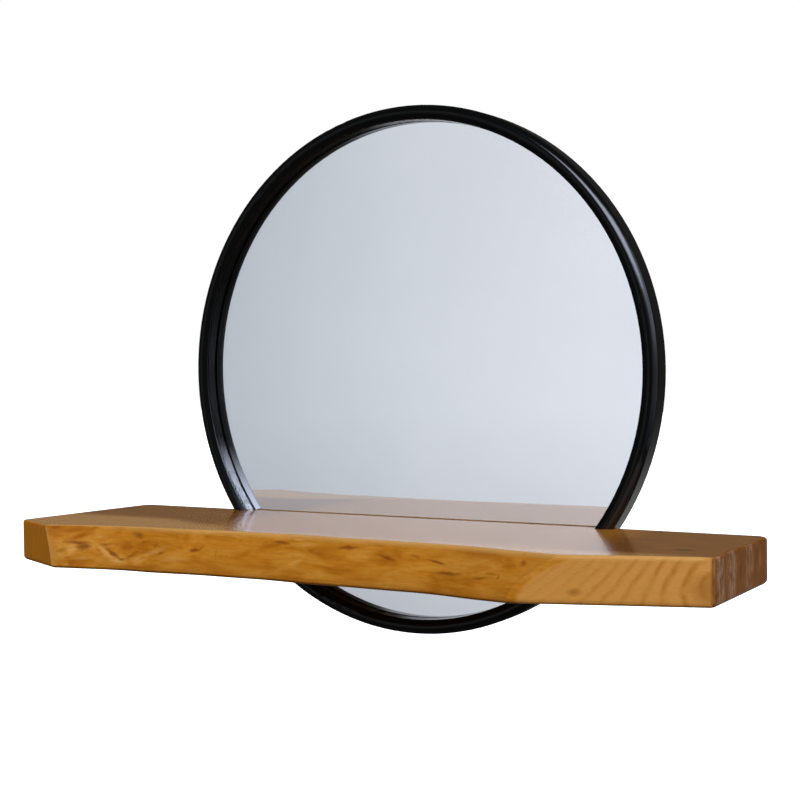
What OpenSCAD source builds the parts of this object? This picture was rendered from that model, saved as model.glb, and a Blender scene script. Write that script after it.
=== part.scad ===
// Round wall mirror in a black moulded ring, with a thick live-edge plank shelf
// that is notched over the lower part of the ring.
// X runs to the viewer's right, Y into the wall, Z up.
// The origin is the ring's centre on the wall's surface, so the object lies at Y < 0.

/* [Ring] */
// Outer diameter of the ring
ring_d = 600; // [560:5:700]
// Width of the ring, seen from the front
ring_w = 17; // [16:0.5:22]
// How far the ring stands out in front of the glass
ring_front = 16.5; // [15:0.5:20]
// Radius of the ring's outer front edge
outer_round = 8; // [4:0.5:9]
// Fall of the ring's front face, from its crest in to the sight edge, in degrees
crown_angle = 24; // [12:1:28]
// Radius of the fine bead along the sight edge
bead_r = 1.2; // [0.8:0.1:1.4]
// Height of the sight edge's plain wall over the glass
sight_wall = 11.4; // [9:0.2:12]
// Lean of that wall, at its top
sight_draft = 0.4; // [0.2:0.1:1]
// Width of the lip that holds the glass
lip_w = 5.5; // [4:0.5:6]

/* [Glass and back] */
// Thickness of the mirror glass
glass_t = 4; // [3:1:6]
// Thickness of the backing board
board_t = 4; // [3:0.5:6]
// Depth of the recess behind the board, up to the wall
recess_d = 4; // [3.4:0.2:8]
// Gap round the glass and the board in their rebate
edge_gap = 1; // [0.5:0.25:1.5]

/* [Turn buttons] */
// Number of turn buttons
button_count = 6; // [3:3:6]
// Width of a turn button
button_w = 7; // [6:0.5:7.5]
// Length of a turn button's arm, from its screw to the centre of its tip
button_arm = 14; // [12:0.5:16]
// Thickness of a turn button
button_t = 1.2; // [0.8:0.1:1.6]
// Distance of its screw from the rebate
button_in = 4; // [3.8:0.1:4.2]
// Radial play of a turn button on its screw
pivot_gap = 0.1; // [0.05:0.05:0.2]

/* [Shelf plank] */
// Distance from the ring's centre to the plank's left end
shelf_left = 416; // [400:2:450]
// Distance from the ring's centre to the plank's right end
shelf_right = 414; // [400:2:450]
// Drop from the ring's centre to the plank's top
shelf_drop = 168.5; // [150:0.5:185]
// Thickness of the plank
shelf_t = 47; // [40:0.5:55]
// Depth of the plank at its waist
shelf_depth = 190; // [175:5:230]
// Place of the waist, right of the ring's centre
waist_x = 30; // [0:5:60]
// Growth of the depth from the waist to the left end
left_flare = 62; // [40:1:90]
// Growth of the depth from the waist to the right end
right_flare = 59; // [40:1:80]
// Outward swell of the live edge, from its top to its bottom
edge_swell = 24; // [10:1:30]
// Height of the live edge's small waves
edge_wave = 1.6; // [0:0.2:3]
// Depth of the left end, where the corner is sawn off
left_cut_depth = 198; // [160:2:204]
// Angle of the sawn left corner to the wall
left_cut_angle = 26; // [18:1:40]
// Angle by which the left end leans in towards the wall
left_skew = 6.5; // [0:0.5:10]
// Depth of the right end, where the corner is sawn off
right_cut_depth = 172; // [150:2:190]
// Angle of the sawn right corner to the wall
right_cut_angle = 17.6; // [12:0.4:24]
// Radius of the plank's upright rear corners
rear_corner_r = 14; // [8:1:20]
// Radius of the plank's upright front corners
front_corner_r = 6.4; // [6.2:0.2:9]
// Rounding of the plank's top edges
top_round = 3; // [1:0.5:4]
// Rounding of the plank's bottom edges
bottom_round = 5; // [1:0.5:6]
// Gap between the plank and the glass
glass_gap = 0.5; // [0.3:0.1:1]
// Gap between the plank's notches and the ring
notch_gap = 0.4; // [0.3:0.1:0.8]

/* [Wall spacers] */
// Width of a wall spacer
spacer_w = 90; // [84:2:100]
// Height of a wall spacer
spacer_h = 36; // [30:1:38]
// Distance from the ring to a wall spacer
spacer_off = 30; // [15:1:40]
// Distance between a wall spacer's screws
spacer_pitch = 74; // [72:1:78]

/* [Hangers] */
// Width of a keyhole plate
plate_w = 56; // [52:1:60]
// Height of a keyhole plate
plate_h = 20; // [18:1:22]
// Thickness of a keyhole plate
plate_t = 1.5; // [1:0.1:2]
// Distance between a keyhole plate's screws
plate_pitch = 42; // [40:1:44]
// Diameter of the keyhole's entry
entry_d = 10; // [8:0.5:11]
// Width of the keyhole's slot
slot_w = 5; // [4:0.5:6]
// Rise of the slot over the entry
slot_rise = 7; // [6.5:0.5:7.5]
// Depth of the room for the wall screw's head
head_room = 7; // [6:0.5:8]
// Length of the sawtooth hanger
saw_l = 46; // [44:1:52]
// Width of the sawtooth hanger
saw_w = 8; // [7:0.5:8]
// Thickness of the sawtooth hanger
saw_t = 1.2; // [0.8:0.1:1.4]
// How far the toothed middle of that hanger stands off the ring
saw_lift = 1.6; // [1.4:0.1:1.8]
// Number of its teeth
saw_teeth = 9; // [7:2:9]

/* [Screws] */
// Diameter of the long screws through the ring and the spacers
long_d = 4; // [3.5:0.25:4.5]
// Length of the ring's screws
ring_screw_l = 50; // [45:1:60]
// Length of the spacers' screws
spacer_screw_l = 35; // [30:1:45]
// Rise and fall of the ring's screws from the plank's middle
ring_screw_dz = 11; // [9:0.5:12]
// Diameter of the small screws
small_d = 2.4; // [2:0.1:2.6]
// Length of the keyhole plates' screws
plate_screw_l = 9; // [8:0.5:10]
// Length of the turn buttons' and the sawtooth hanger's screws
tack_screw_l = 7; // [6:0.5:8]
// Radial play of a screw in its hole
screw_gap = 0.05; // [0.02:0.01:0.1]

/* [Hidden] */
$fn = 96;

// Length by which a cut runs past the face that it opens
over = 1;

// Ring and what it holds, as radii and as distances from the wall
ring_r = ring_d / 2;
sight_r = ring_r - ring_w;
rebate_r = sight_r + lip_w;
glass_r = rebate_r - edge_gap;
board_back = recess_d;
board_front = board_back + board_t;
glass_front = board_front + glass_t;
crest = glass_front + ring_front;
sight_top = glass_front + sight_wall;
land_r = (rebate_r + ring_r) / 2;

// Plank: its rear and its heights
plank_rear = glass_front + glass_gap;
plank_top = -shelf_drop;
plank_bottom = plank_top - shelf_t;
plank_mid = (plank_top + plank_bottom) / 2;

// Live edge: where it swells most and how far that reaches, the lengths of its two waves
// and the angle by which they drift from its top to its bottom
swell_x = 130;
swell_reach = 820;
wave_long = 210;
wave_short = 97;
wave_drift = 60;

// Points of the plank's outline along the live edge and round its corners, and the number
// of outlines between the rounded edges
edge_points = 44;
rear_points = 6;
front_points = 3;
face_levels = 5;

// Wall spacers and hangers
spacer_x = sqrt(ring_r * ring_r - shelf_drop * shelf_drop) + spacer_off + spacer_w / 2;
ring_screw_z = [plank_mid + ring_screw_dz, plank_mid - ring_screw_dz];
saw_r = rebate_r + saw_w / 2;
saw_end = 8;
saw_screw_x = (saw_l - saw_end) / 2;
saw_tooth_h = 1.6;
saw_flat = 0.5;
button_r = rebate_r + button_in;
pocket_gap = 0.5;
head_gap = 1;
entry_z = plank_mid - slot_rise / 2;

// Screws: the pan heads, the depth of the flat heads and the width of their cross recess
small_head_r = 2.4;
small_head_h = 1.4;
flat_head_h = 0.8 * plate_t;
cross_share = 0.2;

// ---------- small shapes ----------

// Lays what is drawn in the ring's section (X out from the axis, Y out from the wall)
// round the ring's axis
module round_axis() {
    rotate([90, 0, 0])
        rotate_extrude($fn = 180)
            children();
}

// Cylinder that runs from the wall side y0 to the viewer's side y1, both distances
// from the wall
module rod_y(r, y0, y1, x = 0, z = 0) {
    translate([x, -y0, z])
        rotate([90, 0, 0])
            cylinder(r = r, h = y1 - y0, $fn = 48);
}

// Box between two distances from the wall, centred in X and Z
module slab_y(w, h, y0, y1, x = 0, z = 0) {
    translate([x - w / 2, -y1, z - h / 2])
        cube([w, y1 - y0, h]);
}

// Countersunk screw: its head is flush with the distance y0 and it points to the viewer
module long_screw(x, y0, z, length) {
    r = long_d / 2;
    translate([x, -y0, z])
        rotate([90, 0, 0])
            difference() {
                union() {
                    cylinder(r1 = 2 * r, r2 = r, h = r, $fn = 48);
                    cylinder(r = r, h = length - r, $fn = 48);
                    translate([0, 0, length - r])
                        cylinder(r1 = r, r2 = r / 4, h = r, $fn = 48);
                }
                screw_cross(r);
            }
}

// Hole for that screw
module long_hole(x, y0, z, length) {
    r = long_d / 2 + screw_gap;
    translate([x, -y0, z])
        rotate([90, 0, 0])
            union() {
                translate([0, 0, -over])
                    cylinder(r = r, h = length + over + screw_gap, $fn = 48);
                cylinder(r1 = r + long_d / 2, r2 = r, h = long_d / 2, $fn = 48);
                translate([0, 0, -over])
                    cylinder(r = r + long_d / 2, h = over, $fn = 48);
            }
}

// Pan-head screw on the face at the distance y0, pointing to the viewer
module pan_screw(x, y0, z, length) {
    r = small_d / 2;
    translate([x, -y0, z])
        rotate([90, 0, 0])
            difference() {
                union() {
                    translate([0, 0, -small_head_h])
                        cylinder(r = small_head_r, h = small_head_h, $fn = 48);
                    cylinder(r = r, h = length - r, $fn = 48);
                    translate([0, 0, length - r])
                        cylinder(r1 = r, r2 = r / 4, h = r, $fn = 48);
                }
                translate([0, 0, -small_head_h])
                    screw_cross(r);
            }
}

// Hole in wood for a pan-head screw's shank, from the distance y0
module pan_hole(x, y0, z, length) {
    rod_y(small_d / 2 + screw_gap, y0 - over, y0 + length + screw_gap, x, z);
}

// Cross recess in a screw's head, cut from z = 0 upwards
module screw_cross(r) {
    for (a = [0, 90])
        rotate([0, 0, a])
            translate([-r, -cross_share * r, -over])
                cube([2 * r, 2 * cross_share * r, r / 2 + over]);
}

// ---------- ring ----------

// Centres of the outer edge's round and of the bead, in the ring's section, as places out
// from the axis
crest_x = ring_r - outer_round;
bead_x = sight_r + sight_draft + 1.25 * bead_r;

// Depth to which the section's rounds and its slope run into each other
blend = 0.02;

// Height of the sloping front face over the wall, grown by g
function slope_y(x, g = 0) = crest - outer_round + (outer_round + g - blend) / cos(crown_angle)
    - (crest_x - x) * tan(crown_angle);

// The ring's plain section from the wall to its crest, grown by g all round: the outer
// edge's round and the sloping front face
module moulding(g) {
    touch_x = crest_x - (outer_round + g) * sin(crown_angle);
    translate([crest_x, crest - outer_round])
        circle(r = outer_round + g, $fn = 96);
    polygon([
        [sight_r - g, 0],
        [ring_r + g, 0],
        [ring_r + g, crest - outer_round],
        [crest_x, crest - outer_round],
        [touch_x, slope_y(touch_x, g)],
        [sight_r - g, slope_y(sight_r - g, g)]
    ]);
}

// Height of the bead's centre: the slope touches the bead
bead_y = slope_y(bead_x) - (bead_r - blend) / cos(crown_angle);

// What comes off the moulding's inner corner: the space over the leaning sight wall, with
// a fine groove under the bead
module sight_cut() {
    touch_x = bead_x - bead_r * sin(crown_angle);
    polygon([
        [sight_r, glass_front],
        [sight_r + sight_draft, sight_top],
        [bead_x, sight_top],
        [bead_x, bead_y],
        [touch_x, slope_y(touch_x)],
        [touch_x, crest],
        [sight_r - over, crest],
        [sight_r - over, glass_front]
    ]);
}

// Full section of the ring: the moulding with its bead and its rebate
module ring_section() {
    difference() {
        moulding(0);
        sight_cut();
        translate([sight_r - over, -over])
            square([lip_w + over, glass_front + over]);
    }
    translate([bead_x, bead_y])
        circle(r = bead_r, $fn = 32);
}

// Place of turn button i, as an angle round the ring
function button_angle(i) = 360 / button_count * (i - 1);

// Turns what is drawn at the ring's right side to the place of turn button i
module at_button(i) {
    rotate([0, -button_angle(i), 0])
        children();
}

// Pocket in the ring's back for one turn button, open to the rebate
module button_pocket() {
    half = button_w / 2 + pocket_gap;
    inner = rebate_r - over;
    length = button_arm + 2 * half;
    translate([inner, -board_back, -half])
        cube([button_r + half - inner, board_back + over, length]);
}

// Pocket in the ring's back for the sawtooth hanger, open to the rebate
module saw_pocket() {
    low = rebate_r - over;
    high = saw_r + saw_w / 2 + pocket_gap;
    slab_y(saw_l + 2 * pocket_gap, high - low, -over, board_back, 0, (low + high) / 2);
}

module frame_ring() {
    color("#101112")
        difference() {
            round_axis()
                ring_section();
            for (i = [1:button_count])
                at_button(i) {
                    button_pocket();
                    pan_hole(button_r, board_back, 0, tack_screw_l);
                }
            saw_pocket();
            for (side = [-1, 1])
                pan_hole(side * saw_screw_x, board_back, saw_r, tack_screw_l);
            for (side = [-1, 1], z = ring_screw_z)
                long_hole(side * screw_x(z), 0, z, ring_screw_l);
        }
}

// ---------- glass and back ----------

module mirror_glass() {
    color("#c3cdd6")
        rod_axis(glass_r, board_front, glass_front);
}

module backing_board() {
    color("#8a6a48")
        rod_axis(glass_r, board_back, board_front);
}

// Disc round the ring's axis, between two distances from the wall
module rod_axis(r, y0, y1) {
    translate([0, -y0, 0])
        rotate([90, 0, 0])
            cylinder(r = r, h = y1 - y0, $fn = 180);
}

// ---------- turn buttons ----------

// Turn button that points at the ring's axis: 0 degrees is its closed place, and 90
// degrees lays it along the ring, in its pocket
module turn_button(i) {
    y1 = board_back;
    y0 = board_back - button_t;
    color("#b9bcc0")
        at_button(i)
            difference() {
                union() {
                    rod_y(button_w / 2, y0, y1, button_r, 0);
                    rod_y(button_w / 2, y0, y1, button_r - button_arm, 0);
                    slab_y(button_arm, button_w, y0, y1, button_r - button_arm / 2, 0);
                }
                rod_y(small_d / 2 + pivot_gap, y0 - over, y1 + over, button_r, 0);
            }
}

module turn_button_screws() {
    color("#d0d2d4")
        for (i = [1:button_count])
            at_button(i)
                pan_screw(button_r, board_back - button_t, 0, tack_screw_l + button_t);
}

// ---------- shelf plank ----------

// Depth of the live edge at the place x, at the share s of the way down its face
function flare(x) = x < waist_x
    ? left_flare * pow((waist_x - x) / (waist_x + shelf_left), 3)
    : right_flare * pow((x - waist_x) / (shelf_right - waist_x), 2);
function swell(x, s) = edge_swell * (1 - pow((x - swell_x) / swell_reach, 2)) * sin(90 * s);
function wave(x, s) = edge_wave * (sin(360 * x / wave_long + wave_drift * s)
    + sin(360 * x / wave_short + 2 * wave_drift * s) / 2);
function live_y(x, s) = -(plank_rear + shelf_depth + flare(x) + swell(x, s) + wave(x, s));

// A line as two points, moved to its left side by d
function moved(a, b, d) = let (t = (b - a) / norm(b - a), n = [-t.y, t.x] * d) [a + n, b + n];

// Where two lines cross
function meet(l, m) = let (
    u = l[1] - l[0],
    v = m[1] - m[0],
    w = m[0] - l[0],
    k = (w.x * v.y - w.y * v.x) / (u.x * v.y - u.y * v.x)
) l[0] + u * k;

// Round corner of radius r between the lines l and m, in n steps
function corner(l, m, r, n) = let (
    p = meet(l, m),
    u = (l[0] - l[1]) / norm(l[0] - l[1]),
    v = (m[1] - m[0]) / norm(m[1] - m[0]),
    half = acos(u * v) / 2,
    c = p + (u + v) / norm(u + v) * r / sin(half),
    from = p + u * r / tan(half) - c,
    to = p + v * r / tan(half) - c,
    sweep = acos(from * to / (norm(from) * norm(to)))
) [for (i = [0:n]) let (a = sweep * i / n)
    c + [from.x * cos(a) - from.y * sin(a), from.x * sin(a) + from.y * cos(a)]];

// The sawn and straight sides of the plank, each as a line that runs anticlockwise
rear_line = [[shelf_right, -plank_rear], [-shelf_left, -plank_rear]];
left_tip = [-shelf_left, -plank_rear - left_cut_depth];
left_line = [left_tip + [sin(left_skew), cos(left_skew)] * left_cut_depth, left_tip];
left_cut = [left_tip, left_tip + [cos(left_cut_angle), -sin(left_cut_angle)]];
right_tip = [shelf_right, -plank_rear - right_cut_depth];
right_cut = [right_tip - [cos(right_cut_angle), sin(right_cut_angle)], right_tip];
right_line = [right_tip, [shelf_right, -plank_rear]];

// Height of a line at the place x
function line_y(l, x) = l[0].y + (l[1].y - l[0].y) * (x - l[0].x) / (l[1].x - l[0].x);

// Place where the live edge meets a sawn corner, found by halving: inside is a place
// where the live edge bounds the plank, outside is one where the saw cut does
function crease(l, inside, outside, s, d, n = 24) = let (mid = (inside + outside) / 2)
    n == 0 ? mid
    : live_y(mid, s) + d > line_y(l, mid) ? crease(l, mid, outside, s, d, n - 1)
    : crease(l, inside, mid, s, d, n - 1);

// Outline of the plank at the share s of the way down, drawn in by d
function outline(s, d) = let (
    rear = moved(rear_line[0], rear_line[1], d),
    left = moved(left_line[0], left_line[1], d),
    cut_l = moved(left_cut[0], left_cut[1], d),
    cut_r = moved(right_cut[0], right_cut[1], d),
    right = moved(right_line[0], right_line[1], d),
    x0 = crease(cut_l, waist_x, -shelf_left, s, d),
    x1 = crease(cut_r, waist_x, shelf_right, s, d)
) concat(
    corner(right, rear, rear_corner_r - d, rear_points),
    corner(rear, left, rear_corner_r - d, rear_points),
    corner(left, cut_l, front_corner_r - d, front_points),
    [for (i = [0:edge_points]) let (x = x0 + (x1 - x0) * i / edge_points)
        [x, live_y(x, s) + d]],
    corner(cut_r, right, front_corner_r - d, front_points));

// Levels of the outline, from the bottom up: the height and how far it is drawn in
levels = concat(
    [for (a = [0:30:90]) [plank_bottom + bottom_round * (1 - cos(a)),
                          bottom_round * (1 - sin(a))]],
    [for (k = [1:face_levels]) [plank_bottom + bottom_round
        + (shelf_t - top_round - bottom_round) * k / (face_levels + 1), 0]],
    [for (a = [90:-30:0]) [plank_top - top_round * (1 - cos(a)),
                           top_round * (1 - sin(a))]]);

// Skin through the outlines of all levels, closed at the bottom and at the top by triangles
// that meet in a hub near the rear, from where the whole outline is in sight
module plank_blank() {
    rings = [for (l = levels) outline((plank_top - l[0]) / shelf_t, l[1])];
    n = len(rings[0]);
    top = len(levels) - 1;
    hub = n * len(levels);
    hub_y = -plank_rear - shelf_depth / 8;
    points = concat(
        [for (k = [0:top]) for (p = rings[k]) [p.x, p.y, levels[k][0]]],
        [[waist_x, hub_y, plank_bottom], [waist_x, hub_y, plank_top]]);
    sides = [for (k = [0:top - 1]) for (i = [0:n - 1]) let (j = (i + 1) % n)
        [k * n + i, (k + 1) * n + i, (k + 1) * n + j, k * n + j]];
    bottom_cap = [for (i = [0:n - 1]) [i, (i + 1) % n, hub]];
    top_cap = [for (i = [0:n - 1]) [top * n + (i + 1) % n, top * n + i, hub + 1]];
    polyhedron(points = points, convexity = 6, faces = concat(bottom_cap, sides, top_cap));
}

// Place of a ring screw at the height z, on the middle of the ring's back
function screw_x(z) = sqrt(land_r * land_r - z * z);

module shelf_board() {
    color("#c08a3e")
        difference() {
            plank_blank();
            round_axis()
                moulding(notch_gap);
            for (side = [-1, 1], z = ring_screw_z)
                long_hole(side * screw_x(z), 0, z, ring_screw_l);
            for (side = [-1, 1], k = [-1, 1])
                long_hole(side * spacer_x + k * spacer_pitch / 2, 0, plank_mid, spacer_screw_l);
        }
}

module ring_screws() {
    color("#8f9296")
        for (side = [-1, 1], z = ring_screw_z)
            long_screw(side * screw_x(z), 0, z, ring_screw_l);
}

// ---------- wall spacers ----------

// Wooden block between the plank and the wall, with a recess for its keyhole plate
module wall_spacer(side) {
    x = side * spacer_x;
    color("#b58c55")
        difference() {
            slab_y(spacer_w, spacer_h, 0, plank_rear, x, plank_mid);
            slab_y(plate_w, plate_h, -over, plate_t, x, plank_mid);
            for (z = [entry_z, entry_z + slot_rise])
                rod_y(entry_d / 2 + head_gap, -over, head_room, x, z);
            slab_y(entry_d + 2 * head_gap, slot_rise, -over, head_room, x, plank_mid);
            for (k = [-1, 1]) {
                long_hole(x + k * spacer_pitch / 2, 0, plank_mid, spacer_screw_l);
                pan_hole(x + k * plate_pitch / 2, plate_t, plank_mid, plate_screw_l);
            }
        }
}

// Steel plate, flush with the spacer's back, with a keyhole for the wall screw
module keyhole_plate(side) {
    x = side * spacer_x;
    color("#c9ccd0")
        difference() {
            slab_y(plate_w, plate_h, 0, plate_t, x, plank_mid);
            rod_y(entry_d / 2, -over, plate_t + over, x, entry_z);
            rod_y(slot_w / 2, -over, plate_t + over, x, entry_z + slot_rise);
            slab_y(slot_w, slot_rise, -over, plate_t + over, x, plank_mid);
            for (k = [-1, 1])
                flat_hole(x + k * plate_pitch / 2);
        }
}

// Countersunk hole in the keyhole plate
module flat_hole(x) {
    r = small_d / 2 + screw_gap;
    rod_y(r, -over, plate_t + over, x, plank_mid);
    translate([x, 0, plank_mid])
        rotate([90, 0, 0])
            cylinder(r1 = r + flat_head_h, r2 = r, h = flat_head_h, $fn = 48);
}

// Small countersunk screws of the keyhole plates
module keyhole_screws() {
    r = small_d / 2;
    color("#8f9296")
        for (side = [-1, 1], k = [-1, 1])
            translate([side * spacer_x + k * plate_pitch / 2, 0, plank_mid])
                rotate([90, 0, 0])
                    difference() {
                        union() {
                            cylinder(r1 = r + flat_head_h, r2 = r, h = flat_head_h, $fn = 48);
                            cylinder(r = r, h = plate_screw_l, $fn = 48);
                            translate([0, 0, plate_screw_l])
                                cylinder(r1 = r, r2 = r / 4, h = r, $fn = 48);
                        }
                        screw_cross(r);
                    }
}

module spacer_screws() {
    color("#8f9296")
        for (side = [-1, 1], k = [-1, 1])
            long_screw(side * spacer_x + k * spacer_pitch / 2, 0, plank_mid, spacer_screw_l);
}

// ---------- sawtooth hanger ----------

// Side profile of the strip, seen from above: flat ends and a lifted middle
function strip_line(y) = [
    [-saw_l / 2, y],
    [-saw_l / 2 + saw_end, y],
    [-saw_l / 2 + saw_end + saw_lift, y - saw_lift],
    [saw_l / 2 - saw_end - saw_lift, y - saw_lift],
    [saw_l / 2 - saw_end, y],
    [saw_l / 2, y]];

module sawtooth_hanger() {
    mid = saw_l - 2 * saw_end - 4 * saw_lift;
    pitch = mid / saw_teeth;
    strip = concat(strip_line(board_back), [for (i = [5:-1:0]) strip_line(board_back - saw_t)[i]]);
    color("#c9ccd0")
        difference() {
            translate([0, 0, saw_r - saw_w / 2])
                linear_extrude(height = saw_w)
                    polygon([for (p = strip) [p.x, -p.y]]);
            for (i = [0:saw_teeth - 1])
                translate([-mid / 2 + pitch * (i + 0.5), 0, saw_r - saw_w / 2])
                    rotate([90, 0, 0])
                        linear_extrude(height = board_back)
                            polygon([[-pitch / 2, -saw_flat], [pitch / 2, -saw_flat], [0, saw_tooth_h]]);
            for (side = [-1, 1])
                rod_y(small_d / 2 + screw_gap, -over, board_back + over, side * saw_screw_x, saw_r);
        }
}

module sawtooth_screws() {
    color("#d0d2d4")
        for (side = [-1, 1])
            pan_screw(side * saw_screw_x, board_back - saw_t, saw_r, tack_screw_l + saw_t);
}

frame_ring();
mirror_glass();
backing_board();
shelf_board();
ring_screws();
wall_spacer(-1);  // wall_spacer_left
wall_spacer(1);  // wall_spacer_right
spacer_screws();
keyhole_plate(-1);  // keyhole_plate_left
keyhole_plate(1);  // keyhole_plate_right
keyhole_screws();
sawtooth_hanger();
sawtooth_screws();
for (i = [1:button_count])
    turn_button(i);
turn_button_screws();
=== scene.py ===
"""Round wall mirror in a black lacquered ring, with a live-edge plank for its shelf.

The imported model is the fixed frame. The ring, the backing board and all the fittings are
its own nodes with a finish. The plank and the mirror glass are modelled here, in their
nodes' places.
"""

import logging
import math
from dataclasses import dataclass
from enum import Enum
from typing import Callable, Iterable, Mapping, Sequence

import bpy
from mathutils import Matrix, Vector


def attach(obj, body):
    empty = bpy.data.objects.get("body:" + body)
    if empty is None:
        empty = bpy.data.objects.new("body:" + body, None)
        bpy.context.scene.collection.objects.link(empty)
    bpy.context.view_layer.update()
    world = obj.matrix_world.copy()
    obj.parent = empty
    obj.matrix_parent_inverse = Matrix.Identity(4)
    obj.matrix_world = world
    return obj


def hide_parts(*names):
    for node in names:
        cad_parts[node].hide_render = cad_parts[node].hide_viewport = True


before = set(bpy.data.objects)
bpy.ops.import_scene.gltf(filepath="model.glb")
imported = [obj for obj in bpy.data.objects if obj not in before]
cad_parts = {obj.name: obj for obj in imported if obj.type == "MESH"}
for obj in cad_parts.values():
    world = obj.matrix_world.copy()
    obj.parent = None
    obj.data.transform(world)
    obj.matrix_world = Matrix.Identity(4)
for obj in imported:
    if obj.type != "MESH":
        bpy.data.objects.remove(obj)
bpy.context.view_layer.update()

LOG = logging.getLogger("mirror")
MM = 0.001

Tree = bpy.types.NodeTree
Node = bpy.types.Node
Socket = bpy.types.NodeSocket
Piece = bpy.types.Object
Value = Node | Socket | float | Sequence[float]
Inputs = Mapping[int | str, Value] | Sequence[Value]

# A Ramp is from where to where something runs and from what to what it gives there, which
# is 0 to 1 if left out. A Span is one half of a Ramp. A Line is a factor and what is added.
Ramp = tuple[float, ...]
Span = tuple[float, float]
Line = tuple[float, float]

# Between these lies nearly all of what a noise gives
NOISE: Span = (0.3, 0.7)

# How far a mark of the plank's wood reaches into the top and into a side, in mm, and how
# strongly it begins
MARK_DEPTH_TOP = 6.0
MARK_DEPTH_SIDE = 60.0
MARK_GAIN = 1.8


# ---------- small helpers ----------


def linear(code: str) -> tuple[float, float, float, float]:
    """Turn an sRGB hex value into the linear colour that a socket takes.

    Args:
        code: six hex digits after a hash sign.

    Returns:
        Red, green and blue in linear light, and 1 for alpha.
    """
    parts = [int(code[i:i + 2], 16) / 255 for i in (1, 3, 5)]
    red, green, blue = [p / 12.92 if p <= 0.04045 else ((p + 0.055) / 1.055) ** 2.4 for p in parts]
    return red, green, blue, 1.0


def set_inputs(tree: Tree, node: Node, inputs: Inputs) -> None:
    """Give a node its constants and its links.

    Args:
        tree: the node's tree.
        node: the node.
        inputs: a constant, a socket or a node (its first output in use) for each input
            socket, by name or in order.
    """
    for place, value in (inputs.items() if isinstance(inputs, Mapping) else enumerate(inputs)):
        source = next(out for out in value.outputs if out.enabled) if isinstance(value, Node) else value
        if isinstance(source, Socket):
            tree.links.new(source, node.inputs[place])
        else:
            node.inputs[place].default_value = source


def add_node(
    tree: Tree,
    kind: str,
    inputs: Inputs = (),
    stops: Sequence[tuple[float, str]] = (),
    **settings: object,
) -> Node:
    """Add a node with its settings, its constants and its links.

    Args:
        tree: the material's or the world's node tree.
        kind: the node's type, without the leading ShaderNode.
        inputs: what goes into it; see set_inputs. A Map Range has in order the value, from
            where to where it runs, and what it gives there.
        stops: places and sRGB hex colours of a colour ramp.
        settings: the node's own properties.

    Returns:
        The new node.
    """
    node = tree.nodes.new(f"ShaderNode{kind}")
    for name, value in settings.items():
        setattr(node, name, value)
    set_inputs(tree, node, inputs)
    if stops:
        ramp = node.color_ramp.elements
        while len(ramp) < len(stops):
            ramp.new(0.5)
        for element, (place, code) in zip(ramp, stops):
            element.position = place
            element.color = linear(code)
    if kind == "MapRange" and node.interpolation_type == "LINEAR":
        # A node of its own holds the value between the limits, which comes to the same. With
        # the clamps inside the Map Range nodes, two more nodes turned the whole plank black.
        node.clamp = False
        low, high = sorted(node.inputs[name].default_value for name in ("To Min", "To Max"))
        return add_node(tree, "Clamp", (node, low, high))
    return node


def pick(piece: Piece, mode: str, wanted: Callable[[object], bool]) -> int:
    """Select the faces or vertices of a mesh by their place or normal.

    The piece is left in edit mode with only what was wanted selected.

    Args:
        piece: the object, active and in edit mode.
        mode: FACE or VERT.
        wanted: says of a face or a vertex whether it is to be selected.

    Returns:
        How many were selected.
    """
    bpy.ops.mesh.select_mode(type=mode)
    bpy.ops.mesh.select_all(action="DESELECT")
    bpy.ops.object.mode_set(mode="OBJECT")
    items = piece.data.polygons if mode == "FACE" else piece.data.vertices
    found = [item for item in items if wanted(item)]
    for item in found:
        item.select = True
    bpy.ops.object.mode_set(mode="EDIT")
    return len(found)


def make_active(piece: Piece) -> None:
    """Deselect everything else and make one object the active one."""
    bpy.ops.object.select_all(action="DESELECT")
    piece.select_set(True)
    bpy.context.view_layer.objects.active = piece


def apply_modifier(piece: Piece, kind: str, **settings: object) -> None:
    """Add a modifier with its settings and apply it.

    Args:
        piece: the object.
        kind: the modifier's type.
        settings: the modifier's own properties.
    """
    modifier = piece.modifiers.new(kind.title(), kind)
    for name, value in settings.items():
        setattr(modifier, name, value)
    make_active(piece)
    bpy.ops.object.modifier_apply(modifier=modifier.name)


# ---------- finishes ----------


class Finish:
    """A material of the object: its name, its shader and its object coordinates in mm."""

    name: str

    def shade(self, tree: Tree, place: Node, shader: Node) -> None:
        """Draw the finish.

        Args:
            tree: the material's node tree.
            place: the place on the object, in mm.
            shader: the principled shader that ends the tree.
        """
        raise NotImplementedError

    def material(self) -> bpy.types.Material:
        """Build the material, once.

        Returns:
            The material with the finish's nodes.
        """
        found = bpy.data.materials.get(self.name)
        if found:
            return found
        made = bpy.data.materials.new(self.name)
        made.use_nodes = True
        tree = made.node_tree
        tree.nodes.clear()
        shader = add_node(tree, "BsdfPrincipled")
        add_node(tree, "OutputMaterial", {"Surface": shader})
        seat = add_node(tree, "TexCoord").outputs["Object"]
        place = add_node(tree, "Mapping", {"Vector": seat, "Scale": (1000, 1000, 1000)})
        self.shade(tree, place, shader)
        return made


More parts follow.
